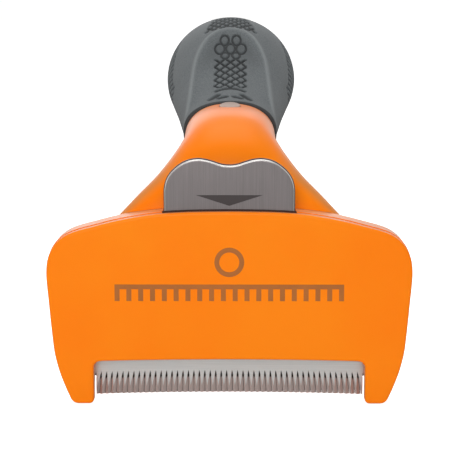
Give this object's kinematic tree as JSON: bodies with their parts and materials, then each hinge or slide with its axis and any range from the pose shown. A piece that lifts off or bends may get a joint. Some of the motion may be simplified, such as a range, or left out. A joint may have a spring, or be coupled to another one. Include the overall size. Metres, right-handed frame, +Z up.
{
  "type": "deshedding tool",
  "caption": "Pet deshedding comb: wide moulded head with a fine steel comb between two lugs, a sprung slide-down button that ejects hair, and a rubber-sleeved palm handle.",
  "frame": {"origin": "on the plane the two lugs rest on, under the middle of the tool's length and width", "axes": "+X along the comb, +Y from the front face back towards the handle's end, +Z up from the lug tips to the button; the ejector slides along -Z"},
  "size_m": [0.0918, 0.1504, 0.0965],
  "materials": {
    "orange_shell": "semi-gloss moulded",
    "grip_rubber": "matte, fine grain",
    "inlay": "satin",
    "comb_steel": "ground",
    "zinc_steel": "zinc plated",
    "spring_steel": "drawn wire",
    "button_metal": "brushed, dark",
    "dark_plastic": "moulded",
    "print_brown": "pad print",
    "print_dark": "print"
  },
  "bodies": {
    "body": {"front_cover": "orange_shell", "rear_body": "orange_shell", "neck_top": "orange_shell", "grip": "grip_rubber", "oval_inlay": "inlay", "comb_blade": "comb_steel", "blade_clamp": "zinc_steel", "blade_screw_left": "zinc_steel", "blade_screw_right": "zinc_steel", "cover_screw_1": "zinc_steel", "cover_screw_2": "zinc_steel", "cover_screw_3": "zinc_steel", "cover_screw_4": "zinc_steel", "handle_screw_front": "zinc_steel", "handle_screw_rear": "zinc_steel", "return_spring_left": "spring_steel", "return_spring_right": "spring_steel", "spring_rod_left": "zinc_steel", "spring_rod_right": "zinc_steel", "head_mark_comb": "print_brown", "head_mark_ring": "print_brown"},
    "ejector": {"button_face_plate": "button_metal", "button_body": "dark_plastic", "arrow_mark": "print_dark", "ejector_slider": "dark_plastic", "ejector_plate": "comb_steel", "ejector_rivet_left": "zinc_steel", "ejector_rivet_right": "zinc_steel", "slider_screw": "zinc_steel"}
  },
  "joints": [
    {"name": "ejector_slide", "type": "slide", "parent": "body", "child": "ejector", "axis": [0, 0, -1], "range_m": [0, 0.0075], "stiffness_N_per_m": 120, "springref_m": -0.012, "deforming": ["return_spring_left", "return_spring_right"]}
  ]
}
